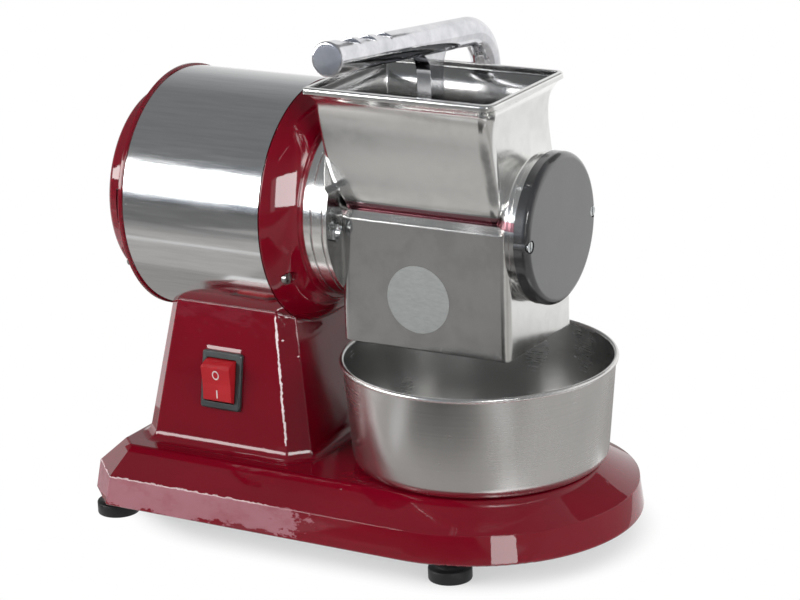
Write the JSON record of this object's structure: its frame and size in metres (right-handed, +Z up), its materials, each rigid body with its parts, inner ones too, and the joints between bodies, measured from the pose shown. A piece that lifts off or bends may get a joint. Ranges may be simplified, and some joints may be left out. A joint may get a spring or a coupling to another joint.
{
  "type": "electric cheese grater",
  "caption": "Electric cheese grater: cast base and pedestal, motor barrel, polished flared hopper with a press lever over a toothed drum, and a loose steel bowl below.",
  "frame": {"origin": "on the floor under the feet, below the motor's axis, halfway along the base", "axes": "+X along the motor's axis from the rear cap to the bearing cover, +Y to the lever's hinge side, away from the switch, +Z up"},
  "size_m": [0.2782, 0.1823, 0.2717],
  "materials": {
    "red_lacquer": "gloss crimson lacquer",
    "polished_aluminium": "hand-polished casting",
    "cast_aluminium": "as cast, turned faces",
    "mirror_steel": "mirror-polished stainless",
    "satin_steel": "satin stainless",
    "ground_steel": "ground",
    "zinc_steel": "zinc plated",
    "zinc_sheet": "zinc-plated sheet",
    "dark_steel": "blackened",
    "black_plastic": "moulded, fine grain",
    "grey_plastic": "moulded",
    "red_plastic": "gloss moulded",
    "rubber": "matt moulded",
    "brass": "stamped",
    "bronze": "sintered",
    "copper": "varnished wire"
  },
  "bodies": {
    "machine": {"base_casting": "red_lacquer", "bottom_cover": "zinc_sheet", "rubber_feet": "rubber", "foot_screws": "zinc_steel", "cable_grommet": "rubber", "switch_housing": "black_plastic", "switch_terminals": "brass", "run_capacitor": "grey_plastic", "terminal_block": "grey_plastic", "saddle_bolts": "zinc_steel", "motor_sleeve": "mirror_steel", "motor_frame": "cast_aluminium", "stator_core": "zinc_steel", "stator_windings": "copper", "rear_bearing": "ground_steel", "front_bearing": "ground_steel", "rear_shield": "cast_aluminium", "front_ring": "red_lacquer", "ring_screws": "dark_steel", "rear_cap": "red_lacquer", "rear_cap_screws": "dark_steel", "head_casting": "polished_aluminium", "head_studs": "ground_steel", "head_nuts": "mirror_steel", "shaft_seal": "rubber", "bearing_cover": "black_plastic", "cover_screws": "ground_steel", "outboard_bush": "bronze", "pivot_pin": "ground_steel", "pivot_clips": "dark_steel"},
    "rotor": {"motor_shaft": "ground_steel", "rotor_core": "zinc_steel", "cooling_fan": "black_plastic", "grating_drum": "satin_steel", "drum_hub_inner": "cast_aluminium", "drum_hub_outer": "cast_aluminium", "drum_nut": "ground_steel", "drive_pin": "ground_steel"},
    "lever": {"press_lever": "polished_aluminium", "presser_plate": "polished_aluminium", "presser_screws": "ground_steel"},
    "rocker": {"switch_rocker": "red_plastic"},
    "bowl": {"bowl": "satin_steel"}
  },
  "joints": [
    {"name": "shaft_spin", "type": "hinge", "parent": "machine", "child": "rotor", "pos_m": [0, 0, 0.164], "axis": [1, 0, 0], "continuous": true},
    {"name": "lever_swing", "type": "hinge", "parent": "machine", "child": "lever", "pos_m": [0.0332, 0.059, 0.205], "axis": [-1, 0, 0], "range_deg": [0, 95]},
    {"name": "switch_rock", "type": "hinge", "parent": "machine", "child": "rocker", "pos_m": [-0.0709, -0.04225, 0.074], "axis": [-1, 0, 0], "range_deg": [0, 26]},
    {"name": "bowl_out", "type": "slide", "parent": "machine", "child": "bowl", "axis": [0, -1, 0], "range_m": [0, 0.17]}
  ]
}
